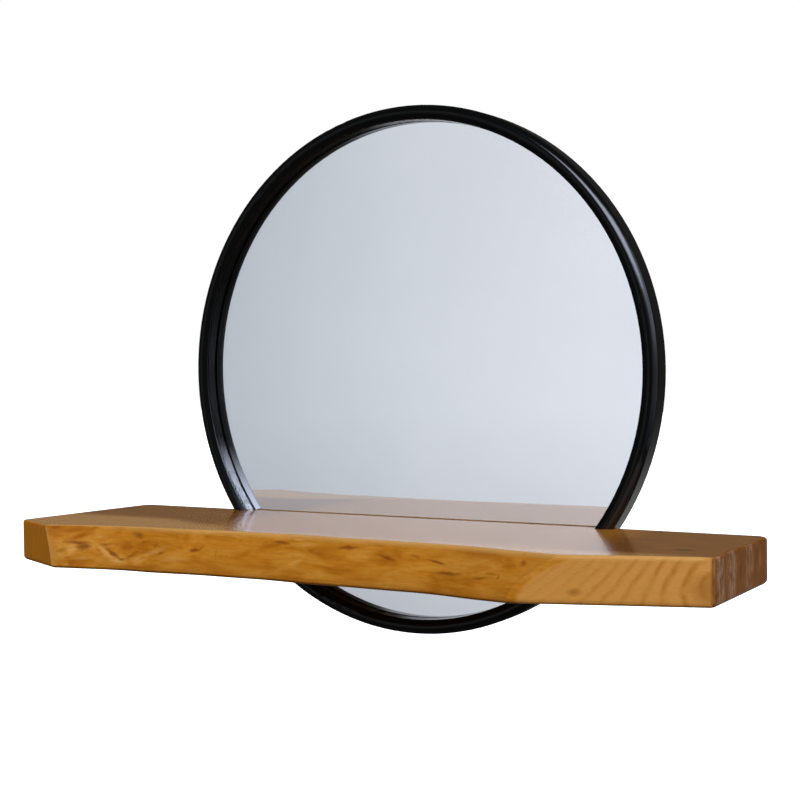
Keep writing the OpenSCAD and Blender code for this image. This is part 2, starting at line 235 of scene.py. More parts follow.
@dataclass(frozen=True)
class SatinLacquer(Finish):
    """Black lacquer, sprayed on a turned wooden moulding and rubbed to a soft shine.

    It gives a deep black in which the window shows as crisp lines along the mouldings, and
    which is paler only where the lacquer is thin over a sharp edge. The spray's grain is
    1.5 mm wide here, so that it shows.
    """

    name: str = "rubbed_black_lacquer"
    black: str = "#040505"
    thin: str = "#1C1917"
    grain_mm: float = 1.5
    cloud_mm: float = 70.0
    sharp: Ramp = (0.52, 0.62)
    rough: Span = (0.13, 0.15)
    ior: float = 1.47

    def shade(self, tree: Tree, place: Node, shader: Node) -> None:
        """Draw the lacquer; see Finish.shade."""
        cloud = add_node(tree, "TexNoise", {"Vector": place, "Scale": 1 / self.cloud_mm, "Detail": 1.0})
        grain = add_node(tree, "TexNoise", {"Vector": place, "Scale": 1 / self.grain_mm, "Detail": 2.0})
        edge = add_node(tree, "NewGeometry").outputs["Pointiness"]
        worn = add_node(tree, "MapRange", (edge, *self.sharp))
        broken = add_node(tree, "Math", (worn, cloud), operation="MULTIPLY")
        colour = add_node(tree, "Mix", {"Factor": broken, "A": linear(self.black), "B": linear(self.thin)},
                          data_type="RGBA")
        rough = add_node(tree, "MapRange", (cloud, *NOISE, *self.rough))
        bump = add_node(tree, "Bump", {"Height": grain, "Strength": 0.01, "Distance": 0.00005})
        set_inputs(tree, shader, {"Base Color": colour, "Roughness": rough, "Normal": bump, "IOR": self.ior})


@dataclass(frozen=True)
class FloatGlass(Finish):
    """Clear float glass, 4 mm thick, with ground edges.

    It is all but colourless from the front and a little green through its edge.
    """

    name: str = "float_glass"
    tint: str = "#FAFBFB"
    ripple_mm: float = 260.0
    ior: float = 1.52

    def shade(self, tree: Tree, place: Node, shader: Node) -> None:
        """Draw the glass; see Finish.shade."""
        ripple = add_node(tree, "TexNoise", {"Vector": place, "Scale": 1 / self.ripple_mm, "Detail": 0.0})
        bump = add_node(tree, "Bump", {"Height": ripple, "Strength": 0.02, "Distance": 0.0001})
        set_inputs(tree, shader, {"Normal": bump, "Base Color": linear(self.tint), "Roughness": 0.0,
                                  "IOR": self.ior, "Transmission Weight": 1.0})


@dataclass(frozen=True)
class SilverCoat(Finish):
    """Silver layer, poured on the back of the glass.

    It gives the mirror its clear, very slightly cool image.
    """

    name: str = "silver_coat"
    silver: str = "#F8F9FA"
    dull: str = "#EEF0F2"
    cloud_mm: float = 180.0

    def shade(self, tree: Tree, place: Node, shader: Node) -> None:
        """Draw the silver; see Finish.shade."""
        cloud = add_node(tree, "TexNoise", {"Vector": place, "Scale": 1 / self.cloud_mm, "Detail": 2.0})
        colour = add_node(tree, "Mix", {"Factor": cloud, "A": linear(self.silver), "B": linear(self.dull)},
                          data_type="RGBA")
        set_inputs(tree, shader, {"Base Color": colour, "Metallic": 1.0, "Roughness": 0.0})


@dataclass(frozen=True)
class Hardboard(Finish):
    """Brown hardboard, pressed from wood fibre, with its screen side to the wall.

    It shows dark and pale fibres in all directions and the fine print of the press's
    screen. The screen's threads are 2 mm apart.
    """

    name: str = "pressed_hardboard"
    brown: str = "#7A5736"
    fibre: str = "#A27B52"
    thread_mm: float = 2.0
    fibre_mm: float = 4.0
    patch_mm: float = 60.0
    pale_fibres: Ramp = (0.35, 0.68)
    print_depth: float = 0.4
    rough: float = 0.78

    def shade(self, tree: Tree, place: Node, shader: Node) -> None:
        """Draw the board; see Finish.shade."""
        fibres = add_node(tree, "TexNoise",
                          {"Vector": place, "Scale": 1 / self.fibre_mm, "Detail": 6.0, "Distortion": 2.5})
        patches = add_node(tree, "TexNoise", {"Vector": place, "Scale": 1 / self.patch_mm, "Detail": 2.0})
        mixed = add_node(tree, "Math", (fibres, patches, -0.22), operation="MULTIPLY_ADD")
        share = add_node(tree, "MapRange", (fibres, *self.pale_fibres))
        blend = add_node(tree, "Math", (share, mixed), operation="ADD", use_clamp=True)
        colour = add_node(tree, "Mix", {"Factor": blend, "A": linear(self.brown), "B": linear(self.fibre)},
                          data_type="RGBA")
        screen = add_node(tree, "VectorMath", (place, (math.tau / self.thread_mm,) * 3), operation="MULTIPLY")
        wave = add_node(tree, "VectorMath", (screen,), operation="SINE")
        parts = add_node(tree, "SeparateXYZ", (wave,))
        print_ = add_node(tree, "Math", (parts.outputs["X"], parts.outputs["Z"]), operation="MULTIPLY")
        height = add_node(tree, "Math", (print_, self.print_depth, fibres), operation="MULTIPLY_ADD")
        bump = add_node(tree, "Bump", {"Height": height, "Strength": 0.5, "Distance": 0.0003})
        set_inputs(tree, shader, {"Base Color": colour, "Normal": bump, "Roughness": self.rough})


class Metal(Enum):
    """Plating of a fitting: its bright and its dull colour, and how rough it is."""

    STEEL = ("#B9BBBD", "#8E9194", 0.34)
    ZINC = ("#C9CCD2", "#A5A08C", 0.28)


@dataclass(frozen=True)
class PlatedSteel(Finish):
    """Pressed or turned steel with a thin plating.

    It has the fine drawing lines of the strip it was pressed from, duller clouds in the
    plating and bright edges where it was punched.
    """

    name: str
    plating: Metal
    punched: str = "#E2E3E4"
    line_mm: float = 0.6
    cloud_mm: float = 9.0
    duller: Ramp = (0.38, 0.66)
    sharp: Ramp = (0.53, 0.6)

    def shade(self, tree: Tree, place: Node, shader: Node) -> None:
        """Draw the plating; see Finish.shade."""
        bright, dull, rough = self.plating.value
        stretched = add_node(tree, "Mapping", {"Vector": place, "Scale": (0.08, 1, 1)})
        lines = add_node(tree, "TexNoise", {"Vector": stretched, "Scale": 1 / self.line_mm, "Detail": 3.0})
        cloud = add_node(tree, "TexNoise", {"Vector": place, "Scale": 1 / self.cloud_mm, "Detail": 4.0})
        share = add_node(tree, "MapRange", (cloud, *self.duller))
        edge = add_node(tree, "NewGeometry").outputs["Pointiness"]
        worn = add_node(tree, "MapRange", (edge, *self.sharp))
        dulled = add_node(tree, "Mix", {"Factor": share, "A": linear(bright), "B": linear(dull)},
                          data_type="RGBA")
        colour = add_node(tree, "Mix", {"Factor": worn, "A": dulled, "B": linear(self.punched)},
                          data_type="RGBA")
        roughness = add_node(tree, "Math", (lines, 0.22, rough - 0.08), operation="MULTIPLY_ADD")
        bump = add_node(tree, "Bump", {"Height": lines, "Strength": 0.25, "Distance": 0.00005})
        set_inputs(tree, shader, {"Base Color": colour, "Roughness": roughness, "Normal": bump,
                                  "Metallic": 1.0})


@dataclass(frozen=True)
class SawnSpruce(Finish):
    """Spruce block, sawn and planed, left raw.

    It shows straight narrow rings, 3 mm apart, and the saw's fine marks across them.
    """

    name: str = "sawn_spruce"
    early: str = "#D9B57E"
    late: str = "#A9743C"
    ring_mm: float = 3.0
    fibre_mm: float = 0.5
    drift_mm: float = 40.0
    ring_lean: float = 0.45
    ring_wander: float = 14.0
    shading: Span = (0.82, 1.08)
    rough: float = 0.62

    def shade(self, tree: Tree, place: Node, shader: Node) -> None:
        """Draw the wood; see Finish.shade."""
        slow = add_node(tree, "Mapping", {"Vector": place, "Scale": (0.12, 1, 1)})
        drift = add_node(tree, "TexNoise", {"Vector": slow, "Scale": 1 / self.drift_mm, "Detail": 2.0})
        parts = add_node(tree, "SeparateXYZ", (place,))
        lean = add_node(tree, "Math", (parts.outputs["Y"], self.ring_lean, parts.outputs["Z"]),
                        operation="MULTIPLY_ADD")
        moved = add_node(tree, "Math", (drift, self.ring_wander, lean), operation="MULTIPLY_ADD")
        phase = add_node(tree, "Math", (moved, 1 / self.ring_mm), operation="MULTIPLY")
        saw = add_node(tree, "Math", (phase,), operation="FRACT")
        rings = add_node(tree, "ValToRGB", {"Fac": saw},
                         stops=((0.0, self.early), (0.62, self.early), (0.9, self.late), (1.0, self.early)))
        fine = add_node(tree, "Mapping", {"Vector": place, "Scale": (0.06, 1, 1)})
        fibre = add_node(tree, "TexNoise", {"Vector": fine, "Scale": 1 / self.fibre_mm, "Detail": 3.0})
        shade = add_node(tree, "MapRange", (fibre, *NOISE, *self.shading))
        colour = add_node(tree, "VectorMath", {0: rings, "Scale": shade}, operation="SCALE")
        bump = add_node(tree, "Bump", {"Height": fibre, "Strength": 0.35, "Distance": 0.0001})
        set_inputs(tree, shader, {"Base Color": colour, "Normal": bump, "Roughness": self.rough})


@dataclass(frozen=True)
class Mark:
    """A knot, a streak, a pale fleck or a painted highlight in the plank, as an ellipse seen from one side.

    Attributes:
        across: its centre, to the right of the ring's centre, in mm.
        along: its centre's height on a side, or its depth on the top, in mm.
        reach: half of its length and half of its width, in mm.
        tilt: its turn, in degrees.
        weight: how strongly it shows.
    """

    across: float
    along: float
    reach: tuple[float, float]
    tilt: float = 0.0
    weight: float = 1.0


# The live edge's broad rusty patches, from left to right
PATCHES = (
    Mark(-335, -191, (9, 18), 0, 0.3),
    Mark(-333, -179, (11, 4), 0, 0.5),
    Mark(-317, -174, (33, 5), 4, 0.6),
    Mark(-306, -180, (21, 5), 19, 0.8),
    Mark(-310, -207, (14, 3), 0, 0.4),
    Mark(-243, -190, (12, 5), 6, 1.0),
    Mark(-226, -210, (37, 3), 2, 0.6),
    Mark(-205, -208, (18, 3), 0, 0.5),
    Mark(-153, -201, (30, 3), 3, 0.3),
    Mark(-60, -203, (60, 4), -2, 0.3),
    Mark(60, -206, (40, 4), 1, 0.35),
    Mark(190, -174, (45, 6), 0, 0.5),
    Mark(165, -207, (40, 4), 0, 0.4),
)

# The live edge's darker streaks and knots, from left to right
STREAKS = (
    Mark(-336, -171, (12, 2), -3, 0.4),
    Mark(-325, -196, (13, 3), 13, 0.55),
    Mark(-314, -203, (8, 2.4), 2, 0.5),
    Mark(-305, -187, (22, 3), -1, 0.85),
    Mark(-297, -191, (12, 6), 2, 0.9),
    Mark(-291, -171, (12, 2), 22, 0.4),
    Mark(-270, -188, (11, 2.6), 2, 0.5),
    Mark(-258, -197, (17, 2.8), -28, 0.8),
    Mark(-246, -203, (5, 2), 0, 0.6),
    Mark(-234, -198, (12, 2.8), 30, 0.5),
    Mark(-233, -177, (11, 4.5), -12, 0.65),
    Mark(-224, -184, (3, 2), 0, 0.5),
    Mark(-206, -186, (3, 4), 0, 0.4),
    Mark(-217, -171, (5, 2), 0, 0.4),
    Mark(-196, -194, (8, 2.4), 15, 0.6),
    Mark(-182, -175, (5, 0.8), 105, 0.6),
    Mark(-176, -169, (11, 1), 6, 0.4),
    Mark(-154, -189, (9, 2.8), 2, 1.0),
    Mark(-146, -187, (5, 1.2), 32, 0.6),
    Mark(-126, -191, (10, 0.8), 100, 0.45),
    Mark(-118, -194, (6, 0.7), 100, 0.3),
    Mark(-112, -194, (5, 0.7), 100, 0.3),
    Mark(-101, -177, (4, 1.2), 3, 0.5),
    Mark(-49, -177, (15, 2.3), -3, 0.8),
    Mark(36, -177, (15, 2.8), 3, 0.95),
    Mark(85, -184, (14, 1.8), -10, 0.85),
    Mark(117, -181, (9, 1.8), -12, 0.45),
    Mark(144, -185, (14, 1.9), -11, 0.9),
    Mark(159, -194, (20, 2.3), 1, 0.8),
    Mark(198, -195, (13, 1.7), 7, 0.65),
    Mark(211, -190, (9, 1.3), -3, 0.5),
    Mark(219, -192, (2, 3.3), 4, 0.6),
    Mark(241, -169.6, (3.4, 2.2), 0, 1.0),
    Mark(243, -178.5, (5, 4), 0, 0.6),
)

# The live edge's paler flecks and ridges, and painted highlights just under its top edge, from left to right
PALE_FLECKS_AND_HIGHLIGHTS = (
    Mark(-331, -186, (9, 3), 0, 0.2),
    Mark(-311, -196, (7, 5.5), 49, 0.6),
    Mark(-314, -211, (7, 1.4), 2, 0.5),
    Mark(-295, -203, (16, 3), 2, 0.4),
    Mark(-280, -180, (13, 3.5), 2, 0.3),
    Mark(-270, -195, (16, 3.5), -30, 0.75),
    Mark(-251, -205, (15, 2.2), -4, 0.65),
    Mark(-226, -201, (9, 3), 30, 0.5),
    Mark(-221, -204, (13, 2.5), 24, 0.45),
    Mark(-208, -194, (26, 4), 20, 0.35),
    Mark(-177, -199, (24, 4.5), 2, 0.3),
    # These last five, just under the top edge, are painted highlights
    Mark(-143, -171, (7, 1.5), 2, 0.6),
    Mark(-106, -174, (10, 1.2), -6, 0.6),
    Mark(-29, -173, (9, 1.5), 3, 0.8),
    Mark(67, -170, (10, 1.5), -3, 0.4),
    Mark(154, -169, (11, 1.5), 3, 0.4),
)


# Knots and a crack in the planed top, and the eyes of the branch in the sawn right corner
TOP_MARKS = (
    Mark(371, -147.5, (11, 9), 0, 1.0),
    Mark(-114, -79.5, (11, 1.6), 24, 1.0),
    Mark(-102, -77, (5, 1.4), 10, 0.8),
)
CORNER_MARKS = (Mark(409, -198, (26, 24), 0, 0.8), Mark(292, -203, (9, 5), 0, 0.4))


@dataclass(frozen=True)
class Ground:
    """What the plank's patterns are drawn from.

    Attributes:
        tree: the material's node tree.
        place: the place on the plank, in mm.
        x: the place to the right, in mm.
        y: the place towards the wall, in mm.
        z: the height, in mm.
        drift: slow noise along the plank.
        lines: fine noise along the plank.
    """

    tree: Tree
    place: Node
    x: Socket
    y: Socket
    z: Socket
    drift: Node
    lines: Node


@dataclass(frozen=True)
class OiledPlank(Finish):
    """Live-edge softwood plank, planed on top, sawn at both corners, oiled and waxed.

    The oil gives it a warm amber depth and a satin gloss that is clearest on the planed
    top. The growth rings run along it, so the top has lengthwise lines, the ends short
    upright ones, and the live edge only broad drifts with streaks and knots. The sawn
    right corner cuts through a branch, whose rings show there as arcs. Places and the
    sizes of its patterns are in mm.
    """

    name: str = "oiled_live_edge_plank"
    amber: str = "#A36516"
    honey: str = "#AE7325"
    rust: str = "#8E4F0C"
    # Pale wood, and also the colour of the painted highlights along the top edge
    pale: str = "#BF8F4A"
    knot: str = "#6E3B0B"
    facet: str = "#B57C3A"
    facet_late: str = "#9C611C"
    facet_plain: str = "#AF7733"
    sawn: str = "#AF6C19"
    crease: str = "#966A2D"
    end: str = "#65380E"
    end_late: str = "#542E0B"
    end_early: str = "#875720"
    top: str = "#8E5419"
    top_late: str = "#6E3C10"
    top_middle: str = "#B8741F"
    # Painted light: the paler front of the top on the left
    painted_front_light: str = "#D9A05C"
    crack: str = "#3F2210"
    chalk: str = "#C8AD92"
    drift_mm: float = 34.0
    line_mm: float = 1.6
    dent_mm: float = 14.0
    cloud_mm: float = 15.0
    warp_mm: float = 7.0
    ring_mm: float = 8.0
    arc_mm: float = 15.0
    wobble_mm: float = 24.0
    patch_mm: float = 16.0
    grain_mm: float = 3.0
    fleck_mm: float = 4.5
    pith: tuple[float, float] = (60.0, -196.0)
    top_z: float = -168.5
    thick: float = 47.0
    right_x: float = 414.0
    front_y: float = -225.0
    right_crease: Line = (56.0, 239.0)
    left_crease: Line = (25.0, -354.0)
    eye_z: float = -198.0
    chalk_bands: tuple[tuple[float, float], ...] = ((-170.0, 0.6), (-136.0, 0.6), (-84.0, 0.4))
    chalk_edge: Ramp = (17.0, 5.0, 0.0)
    chalk_grain: Ramp = (0.44, 0.64)
    chalk_share: float = 0.6
    top_faces: Ramp = (0.8, 0.96)
    end_faces: Ramp = (0.38, 0.6)
    # Where the painted highlight lies on the rounded rim along the top
    rim_highlight_faces: Ramp = (0.999, 0.985, 0.0, 0.6)
    rim_highlight_z: Span = (-174.0, -170.0)
    rim_highlight_left: Ramp = (-300, -200)
    rim_highlight_right: Ramp = (411, 405)
    right_edge: Ramp = (-2.0, 3.0)
    left_edge: Ramp = (-3.0, 3.0)
    seam_edge: Ramp = (7.5, 0.5, 0.0, 0.6)
    ring_wander: float = 60.0
    mark_wander: tuple[float, float, float] = (6, 3, 3)
    foot_z: Ramp = (-208.0, -214.0, 0.0, 0.55)
    foot_left: Ramp = (-280.0, -230.0, 0.2)
    middle_left: Ramp = (-190, -150)
    middle_right: Ramp = (300, 260)
    painted_front_light_slant: Ramp = (-260, -120, 0.0, 55.0)
    painted_front_light_y: Ramp = (-122, -148, 0.0, 0.8)
    arc_lean: Line = (0.01, -0.15)
    arc_wander: float = 9.0
    arc_start: float = -0.4
    arc_left: Ramp = (290, 380, 0.3)
    arc_gaps: Ramp = (0.4, 0.6, 0.35)
    lined: Span = (0.93, 1.06)
    grained: Span = (0.88, 1.1)
    upright: Span = (0.86, 1.12)
    rough: Span = (0.3, 0.46)
    top_rough: Line = (0.03, 0.23)
    low_angle: Ramp = (0.66, 0.82, 0.2)
    wax: float = 0.5
    oil: Line = (0.44, 0.06)
    ior: float = 1.47

    def shade(self, tree: Tree, place: Node, shader: Node) -> None:
        """Draw the plank's wood; see Finish.shade."""
        axes = add_node(tree, "SeparateXYZ", (place,))
        normal = add_node(tree, "SeparateXYZ", (add_node(tree, "NewGeometry").outputs["Normal"],))
        long = add_node(tree, "Mapping", {"Vector": place, "Scale": (0.16, 1, 1)})
        fibre = add_node(tree, "Mapping", {"Vector": place, "Scale": (0.045, 1, 1)})
        drift = add_node(tree, "TexNoise",
                         {"Vector": long, "Scale": 1 / self.drift_mm, "Detail": 3.0, "Roughness": 0.55})
        lines = add_node(tree, "TexNoise",
                         {"Vector": fibre, "Scale": 1 / self.line_mm, "Detail": 4.0, "Roughness": 0.6})
        ground = Ground(tree, place, *axes.outputs[:3], drift, lines)
        masks = self.masks(ground, normal)
        end = self.end_grain(ground)
        # The rim layer is a painted highlight in the pale colour along the top edge
        layers = {"facet": self.branch_arcs(ground), "left": end["left"], "end": end["right"],
                  "seam": linear(self.crease), "top": self.planed(ground), "rim": linear(self.pale)}
        colour = self.live_edge(ground)
        for name, layer in layers.items():
            colour = add_node(tree, "Mix", {"Factor": masks[name], "A": colour, "B": layer}, data_type="RGBA")
        set_inputs(tree, shader, {"Base Color": colour})
        self.surface(ground, masks["top"], long, shader)

    def surface(self, ground: Ground, top: Node, long: Node, shader: Node) -> None:
        """Give the wood its gloss and its relief, with most gloss on the top.

        Args:
            ground: the plank's places and noises.
            top: the mask of the planed top.
            long: the place on the plank, drawn out along it.
            shader: the principled shader that ends the tree.
        """
        tree, lines = ground.tree, ground.lines
        rough = add_node(tree, "MapRange", (lines, *NOISE, *self.rough))
        even = add_node(tree, "Math", (ground.drift, *self.top_rough), operation="MULTIPLY_ADD")
        flat = add_node(tree, "Mix", {"Factor": top, "A": rough, "B": even}, data_type="FLOAT")
        dents = add_node(tree, "TexNoise", {"Vector": long, "Scale": 1 / self.dent_mm, "Detail": 2.0})
        deep = add_node(tree, "Math", (dents, 4.0, lines), operation="MULTIPLY_ADD")
        fine = add_node(tree, "Math", (lines, 0.04), operation="MULTIPLY")
        height = add_node(tree, "Mix", {"Factor": top, "A": deep, "B": fine}, data_type="FLOAT")
        bump = add_node(tree, "Bump", {"Height": height, "Strength": 0.35, "Distance": 0.0002})
        # The wax shines most where the eye meets the top at a low angle
        facing = add_node(tree, "LayerWeight", {"Blend": 0.5}).outputs["Facing"]
        low = add_node(tree, "MapRange", (facing, *self.low_angle))
        gloss = add_node(tree, "Math", (top, low), operation="MULTIPLY")
        waxed = add_node(tree, "Math", (gloss, self.wax), operation="MULTIPLY")
        shine = add_node(tree, "Math", (gloss, *self.oil), operation="MULTIPLY_ADD")
        set_inputs(tree, shader, {"Roughness": flat, "Normal": bump, "Coat Weight": waxed,
                                  "Specular IOR Level": shine, "IOR": self.ior, "Coat Roughness": 0.1})

    def masks(self, ground: Ground, normal: Node) -> dict[str, Node]:
        """Tell the plank's faces apart.

        Args:
            ground: the plank's places and noises.
            normal: the surface normal, split in three.

        Returns:
            A mask from 0 to 1 for the top and bottom, the two sawn corners, the right
            end, the paler band along the left corner's crease and the painted highlight on
            the rim along the top.
        """
        tree, x, z = ground.tree, ground.x, ground.z
        up = add_node(tree, "Math", (normal.outputs["Z"],), operation="ABSOLUTE")
        top = add_node(tree, "MapRange", (up, *self.top_faces))
        # Each crease bends on its way from the top to the foot
        drop = add_node(tree, "MapRange", (z, self.top_z, self.top_z - self.thick))
        square = add_node(tree, "Math", (drop, 1.0), operation="SUBTRACT")
        rise = add_node(tree, "Math", (square, square), operation="MULTIPLY")
        right_crease = add_node(tree, "Math", (rise, *self.right_crease), operation="MULTIPLY_ADD")
        past = add_node(tree, "Math", (x, right_crease), operation="SUBTRACT")
        facet = add_node(tree, "MapRange", (past, *self.right_edge))
        quarter = add_node(tree, "Math", (drop, math.pi / 2), operation="MULTIPLY")
        bend = add_node(tree, "Math", (quarter,), operation="SINE")
        left_crease = add_node(tree, "Math", (bend, *self.left_crease), operation="MULTIPLY_ADD")
        before = add_node(tree, "Math", (left_crease, x), operation="SUBTRACT")
        left = add_node(tree, "MapRange", (before, *self.left_edge))
        end = add_node(tree, "MapRange", (normal.outputs["X"], *self.end_faces))
        gap = add_node(tree, "Math", (before,), operation="ABSOLUTE")
        seam = add_node(tree, "MapRange", (gap, *self.seam_edge), interpolation_type="SMOOTHSTEP")
        # Painted highlight: the rounded rim along the top, fading out on the far left and before the right
        # end
        high = add_node(tree, "MapRange", (z, *self.rim_highlight_z))
        level = add_node(tree, "MapRange", (normal.outputs["Z"], *self.rim_highlight_faces))
        inner = add_node(tree, "MapRange", (x, *self.rim_highlight_left))
        short = add_node(tree, "MapRange", (x, *self.rim_highlight_right))
        ends = add_node(tree, "Math", (inner, short), operation="MULTIPLY")
        edge = add_node(tree, "Math", (high, level), operation="MULTIPLY")
        rim = add_node(tree, "Math", (edge, ends), operation="MULTIPLY")
        return {"top": top, "facet": facet, "left": left, "end": end, "seam": seam, "rim": rim}

    def rings(self, ground: Ground) -> Node:
        """Growth rings round the log's pith, which lies behind the plank.

        Args:
            ground: the plank's places and noises.

        Returns:
            The place within each ring, from 0 at its start to 1 at its dark end.
        """
        tree = ground.tree
        from_y = add_node(tree, "Math", (ground.y, self.pith[0]), operation="SUBTRACT")
        from_z = add_node(tree, "Math", (ground.z, self.pith[1]), operation="SUBTRACT")
        spot = add_node(tree, "CombineXYZ", (from_y, from_z))
        radius = add_node(tree, "VectorMath", (spot,), operation="LENGTH")
        moved = add_node(tree, "Math", (ground.drift, self.ring_wander, radius), operation="MULTIPLY_ADD")
        phase = add_node(tree, "Math", (moved, 1 / self.ring_mm), operation="MULTIPLY")
        return add_node(tree, "Math", (phase,), operation="FRACT")

    def marks(self, tree: Tree, place: Node, marks: Iterable[Mark], flat: bool = False) -> Node:
        """Join marks of one kind into a mask.

        Args:
            tree: the material's node tree.
            place: the place on the object, in mm.
            marks: the marks.
            flat: whether they lie on the top and not on the plank's side.

        Returns:
            How strongly a mark shows, from 0 to 1.
        """
        total = None
        for mark in marks:
            turn = math.radians(mark.tilt)
            if flat:
                seat, spin = (mark.across, mark.along, self.top_z), (0, 0, turn)
                reach = (mark.reach[0], mark.reach[1], MARK_DEPTH_TOP)
            else:
                seat, spin = (mark.across, self.front_y, mark.along), (0, -turn, 0)
                reach = (mark.reach[0], MARK_DEPTH_SIDE, mark.reach[1])
            local = add_node(tree, "Mapping",
                             {"Vector": place, "Location": seat, "Rotation": spin, "Scale": reach},
                             vector_type="TEXTURE")
            blob = add_node(tree, "TexGradient", {"Vector": local}, gradient_type="SPHERICAL")
            scaled = add_node(tree, "Math", (blob, MARK_GAIN * mark.weight), operation="MULTIPLY")
            total = scaled if total is None else add_node(tree, "Math", (total, scaled), operation="MAXIMUM")
        return add_node(tree, "Math", (total, 1.0), operation="MINIMUM")

    def live_edge(self, ground: Ground) -> Node:
        """Colour the live edge: amber drifts with streaks, knots, pale flecks and painted highlights.

        Args:
            ground: the plank's places and noises.

        Returns:
            The colour.
        """
        tree, place = ground.tree, ground.place
        broad = add_node(tree, "Mapping", {"Vector": place, "Scale": (0.3, 0.4, 1)})
        cloud = add_node(tree, "TexNoise",
                         {"Vector": broad, "Scale": 1 / self.cloud_mm, "Detail": 5.0, "Roughness": 0.6,
                          "Distortion": 0.6})
        base = add_node(tree, "ValToRGB", {"Fac": cloud},
                        stops=((0.3, self.rust), (0.46, self.amber), (0.62, self.honey), (0.8, self.pale)))
        # The marks' outlines wander by a few mm, so that none is a clean ellipse
        warp = add_node(tree, "TexNoise", {"Vector": place, "Scale": 1 / self.warp_mm, "Detail": 3.0})
        shift = add_node(tree, "VectorMath", (warp.outputs["Color"], (0.5, 0.5, 0.5)), operation="SUBTRACT")
        wander = add_node(tree, "VectorMath", (shift, self.mark_wander, place), operation="MULTIPLY_ADD")
        grained = add_node(tree, "MapRange", (ground.lines, *NOISE, *self.grained))
        colour = add_node(tree, "VectorMath", {0: base, "Scale": grained}, operation="SCALE")
        # The pale flecks include painted highlights under the top edge
        for marks, share, code in ((PATCHES, 1.0, self.rust), (PALE_FLECKS_AND_HIGHLIGHTS, 0.65, self.pale),
                                   (STREAKS, 0.85, self.knot)):
            strength = add_node(tree, "Math", (self.marks(tree, wander, marks), share), operation="MULTIPLY")
            colour = add_node(tree, "Mix", {"Factor": strength, "A": colour, "B": linear(code)},
                              data_type="RGBA")
        foot = add_node(tree, "MapRange", (ground.z, *self.foot_z))
        across = add_node(tree, "MapRange", (ground.x, *self.foot_left))
        dark = add_node(tree, "Math", (foot, across), operation="MULTIPLY")
        return add_node(tree, "Mix", {"Factor": dark, "A": colour, "B": linear(self.knot)}, data_type="RGBA")

    def planed(self, ground: Ground) -> Node:
        """Colour the planed top: lengthwise lines, painted light along its front on the left, a knot and a
        crack.

        Args:
            ground: the plank's places and noises.

        Returns:
            The colour.
        """
        tree, x = ground.tree, ground.x
        ringed = add_node(tree, "ValToRGB", {"Fac": self.rings(ground)},
                          stops=((0.0, self.top), (0.55, self.top), (0.9, self.top_late), (1.0, self.top)))
        left = add_node(tree, "MapRange", (x, *self.middle_left))
        right = add_node(tree, "MapRange", (x, *self.middle_right))
        middle = add_node(tree, "Math", (left, right), operation="MULTIPLY")
        most = add_node(tree, "Math", (middle, 0.85), operation="MULTIPLY")
        wood = add_node(tree, "Mix", {"Factor": most, "A": ringed, "B": linear(self.top_middle)},
                        data_type="RGBA")
        shade = add_node(tree, "MapRange", (ground.lines, *NOISE, *self.lined))
        # Painted light: a paler band along the front of the top on the left, where its soft front edge
        # catches more light
        slant = add_node(tree, "MapRange", (x, *self.painted_front_light_slant))
        across = add_node(tree, "Math", (ground.y, slant), operation="ADD")
        painted_front_light = add_node(tree, "MapRange", (across, *self.painted_front_light_y))
        paler = add_node(tree, "Mix", {"Factor": painted_front_light, "A": wood, "B": linear(self.painted_front_light)}, data_type="RGBA")
        tone = add_node(tree, "VectorMath", {0: paler, "Scale": shade}, operation="SCALE")
        knots = self.marks(tree, ground.place, TOP_MARKS, flat=True)
        share = add_node(tree, "Math", (knots, 0.85), operation="MULTIPLY")
        return add_node(tree, "Mix", {"Factor": share, "A": tone, "B": linear(self.crack)}, data_type="RGBA")

    def branch_arcs(self, ground: Ground) -> Node:
        """Colour the sawn right corner: pale wood with the arcs of a branch.

        The arcs go round an eye near the corner's edge, and lean over as they get wider.

        Args:
            ground: the plank's places and noises.

        Returns:
            The colour.
        """
        tree, place = ground.tree, ground.place
        out = add_node(tree, "Math", (self.right_x, ground.x), operation="SUBTRACT")
        rise = add_node(tree, "Math", (ground.z, -self.eye_z), operation="ADD")
        spot = add_node(tree, "CombineXYZ", (out, rise))
        radius = add_node(tree, "VectorMath", (spot,), operation="LENGTH")
        lean = add_node(tree, "Math", (out, *self.arc_lean), operation="MULTIPLY_ADD")
        leaned = add_node(tree, "Math", (rise, lean, radius), operation="MULTIPLY_ADD")
        wobble = add_node(tree, "TexNoise", {"Vector": place, "Scale": 1 / self.wobble_mm, "Detail": 3.0})
        moved = add_node(tree, "Math", (wobble, self.arc_wander, leaned), operation="MULTIPLY_ADD")
        phase = add_node(tree, "Math", (moved, 1 / self.arc_mm, self.arc_start), operation="MULTIPLY_ADD")
        saw = add_node(tree, "Math", (phase,), operation="FRACT")
        arcs = add_node(tree, "ValToRGB", {"Fac": saw},
                        stops=((0.0, self.facet), (0.4, self.facet), (0.75, self.facet_late),
                               (1.0, self.facet)))
        # They fade away from the eye and are broken by patches of plain wood
        near = add_node(tree, "MapRange", (ground.x, *self.arc_left))
        patch = add_node(tree, "TexNoise", {"Vector": place, "Scale": 1 / self.patch_mm, "Detail": 2.0})
        broken = add_node(tree, "MapRange", (patch, *self.arc_gaps))
        shown = add_node(tree, "Math", (near, broken), operation="MULTIPLY")
        faded = add_node(tree, "Mix", {"Factor": shown, "A": linear(self.facet_plain), "B": arcs},
                         data_type="RGBA")
        shade = add_node(tree, "MapRange", (ground.lines, *NOISE, *self.lined))
        tone = add_node(tree, "VectorMath", {0: faded, "Scale": shade}, operation="SCALE")
        eye = self.marks(tree, place, CORNER_MARKS)
        share = add_node(tree, "Math", (eye, 0.8), operation="MULTIPLY")
        return add_node(tree, "Mix", {"Factor": share, "A": tone, "B": linear(self.knot)}, data_type="RGBA")

